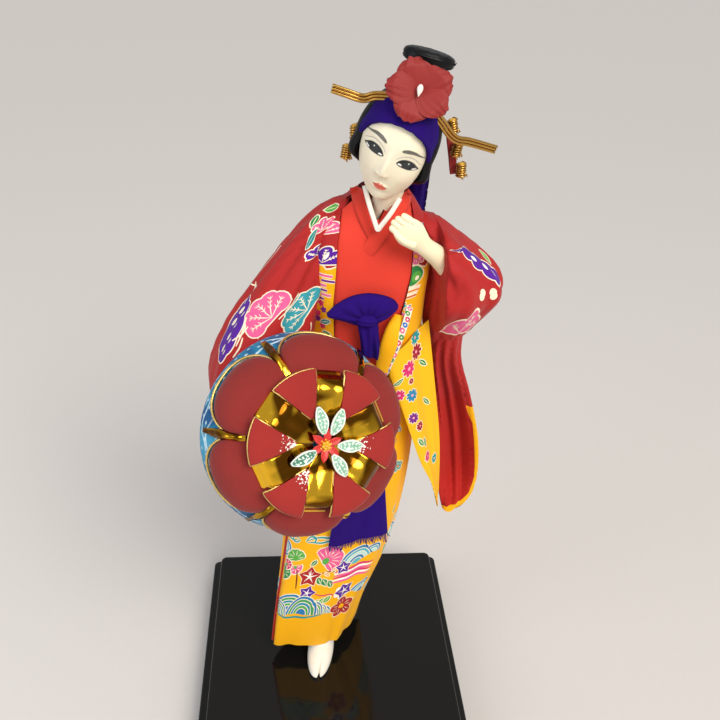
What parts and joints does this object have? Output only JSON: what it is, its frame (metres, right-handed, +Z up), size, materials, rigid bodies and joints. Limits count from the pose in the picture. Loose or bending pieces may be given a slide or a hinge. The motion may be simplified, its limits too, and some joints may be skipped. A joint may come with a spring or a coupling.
{
  "type": "folk dancer doll",
  "caption": "Standing dancer doll in a printed robe with trailing sleeves, one hand at the collar and the other holding a flower hat, on a stepped square black base.",
  "frame": {"origin": "centre of the base's underside", "axes": "+Z up, the doll faces -Y, its left hand towards +X"},
  "size_m": [0.142, 0.155, 0.3447],
  "materials": {
    "black_lacquer": "high-gloss black lacquer on wood",
    "red_cotton": "printed cotton with pine, blossom and line motifs",
    "yellow_cotton": "stencil-dyed cotton with waves, blossoms and leaves",
    "plain_red_crepe": "plain red crepe",
    "purple_crepe": "plain purple crepe",
    "white_cotton": "plain white cotton",
    "ivory_face": "satin ivory coating with painted features",
    "black_hair": "black silk thread, combed",
    "gold_wire": "bright gold wire, twisted",
    "gold_foil": "mirror-bright gold foil",
    "red_felt": "matt red felt with a cream piping",
    "wave_print": "blue print with pale waves",
    "pale_leaf": "pale green with silver glitter",
    "red_silk": "pleated red silk",
    "bead_cluster": "red paper petals round small gold beads",
    "white_bead": "glossy white bead"
  },
  "bodies": {
    "root": {"hat_centre": "bead_cluster", "hat_leaf_1": "pale_leaf", "hat_leaf_2": "pale_leaf", "hat_leaf_3": "pale_leaf", "hat_leaf_4": "pale_leaf", "hat_leaf_5": "pale_leaf", "hat_foil_1": "gold_foil", "hat_foil_2": "gold_foil", "hat_foil_3": "gold_foil", "hat_foil_4": "gold_foil", "hat_foil_5": "gold_foil", "hat_foil_6": "gold_foil", "hat_wedge_1": "red_felt", "hat_wedge_2": "red_felt", "hat_wedge_3": "red_felt", "hat_wedge_4": "red_felt", "hat_wedge_5": "red_felt", "hat_wedge_6": "red_felt", "hat_petal_1": "red_felt", "hat_petal_2": "red_felt", "hat_petal_3": "red_felt", "hat_petal_4": "red_felt", "hat_petal_5": "red_felt", "hat_petal_6": "red_felt", "hat_shell": "wave_print", "hairpin": "gold_wire", "flower_stamen": "white_bead", "hair_flower": "red_silk", "gold_coil_1": "gold_wire", "gold_coil_2": "gold_wire", "gold_coil_3": "gold_wire", "gold_coil_4": "gold_wire", "gold_coil_5": "gold_wire", "coil_strip": "red_silk", "topknot": "black_hair", "hand_left": "ivory_face", "hand_right": "ivory_face", "sash_bow": "purple_crepe", "sash_tail": "purple_crepe", "head": "ivory_face", "headband": "purple_crepe", "hair": "black_hair", "headband_tail": "purple_crepe", "under_collar": "white_cotton", "side_panel": "yellow_cotton", "sleeve_left": "red_cotton", "sleeve_right": "red_cotton", "inner_robe": "plain_red_crepe", "outer_robe": "red_cotton", "skirt": "yellow_cotton", "foot_right": "white_cotton", "foot_left": "white_cotton", "base": "black_lacquer"}
  },
  "joints": []
}
